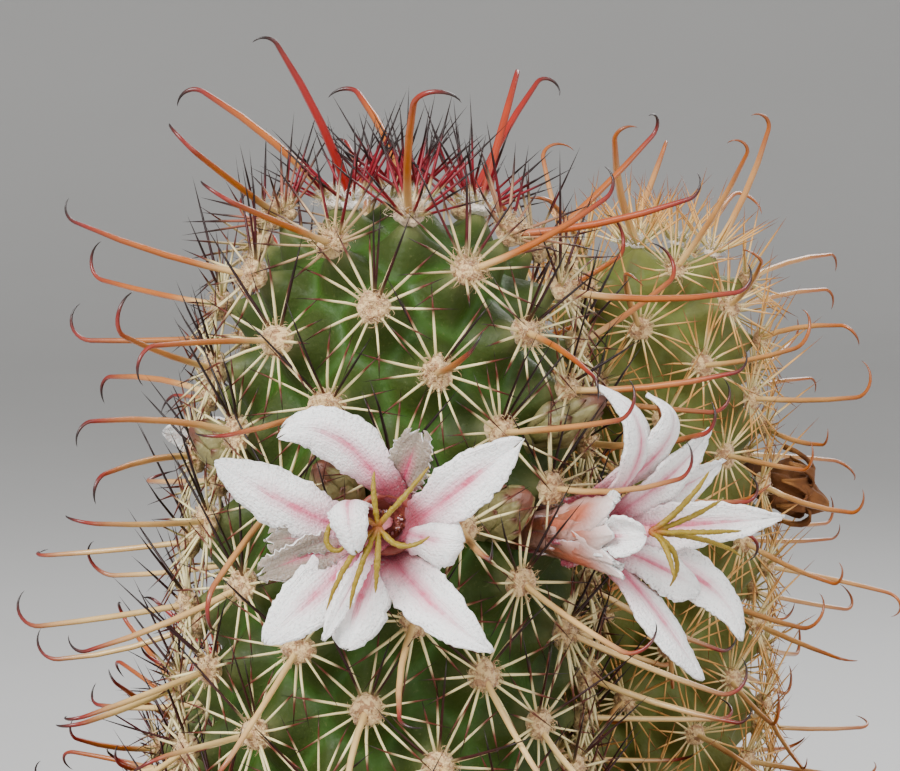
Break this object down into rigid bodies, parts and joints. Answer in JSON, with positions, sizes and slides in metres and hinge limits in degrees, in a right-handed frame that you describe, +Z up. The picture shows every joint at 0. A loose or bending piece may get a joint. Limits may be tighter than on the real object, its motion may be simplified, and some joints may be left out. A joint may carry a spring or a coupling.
{
  "type": "potted cochemiea capensis",
  "caption": "Potted clump of hooked-spined cactus stems with open pink-striped white flowers, buds and a withered flower, in gritty soil in a plain clay pot.",
  "frame": {"origin": "middle of the pot's underside, on the surface that the pot stands on", "axes": "+Z up along the pot's axis; -Y towards the viewer of the plant's flowering front; +X to that viewer's right"},
  "size_m": [0.12, 0.12, 0.1767],
  "materials": {
    "clay": "matte unglazed terracotta",
    "soil": "rough gritty mix",
    "stem": "satin living skin",
    "spine": "smooth horny spine, pale below and red-brown to black at the tip",
    "wool": "felted areole wool",
    "petal": "fine crystalline petal surface",
    "stigma": "papillate matte",
    "bud": "satin scales with dry tips",
    "withered": "dry and wrinkled"
  },
  "bodies": {
    "root": {"pot": "clay", "soil": "soil", "stem_main": "stem", "stem_back": "stem", "stem_offset": "stem", "bloom_front": "petal", "bloom_right": "petal", "bloom_rear": "petal", "pistil_front": "stigma", "pistil_right": "stigma", "pistil_rear": "stigma", "bud_front": "bud", "bud_front_left": "bud", "bud_right": "bud", "bud_left": "bud", "withered_bloom": "withered"}
  },
  "joints": []
}
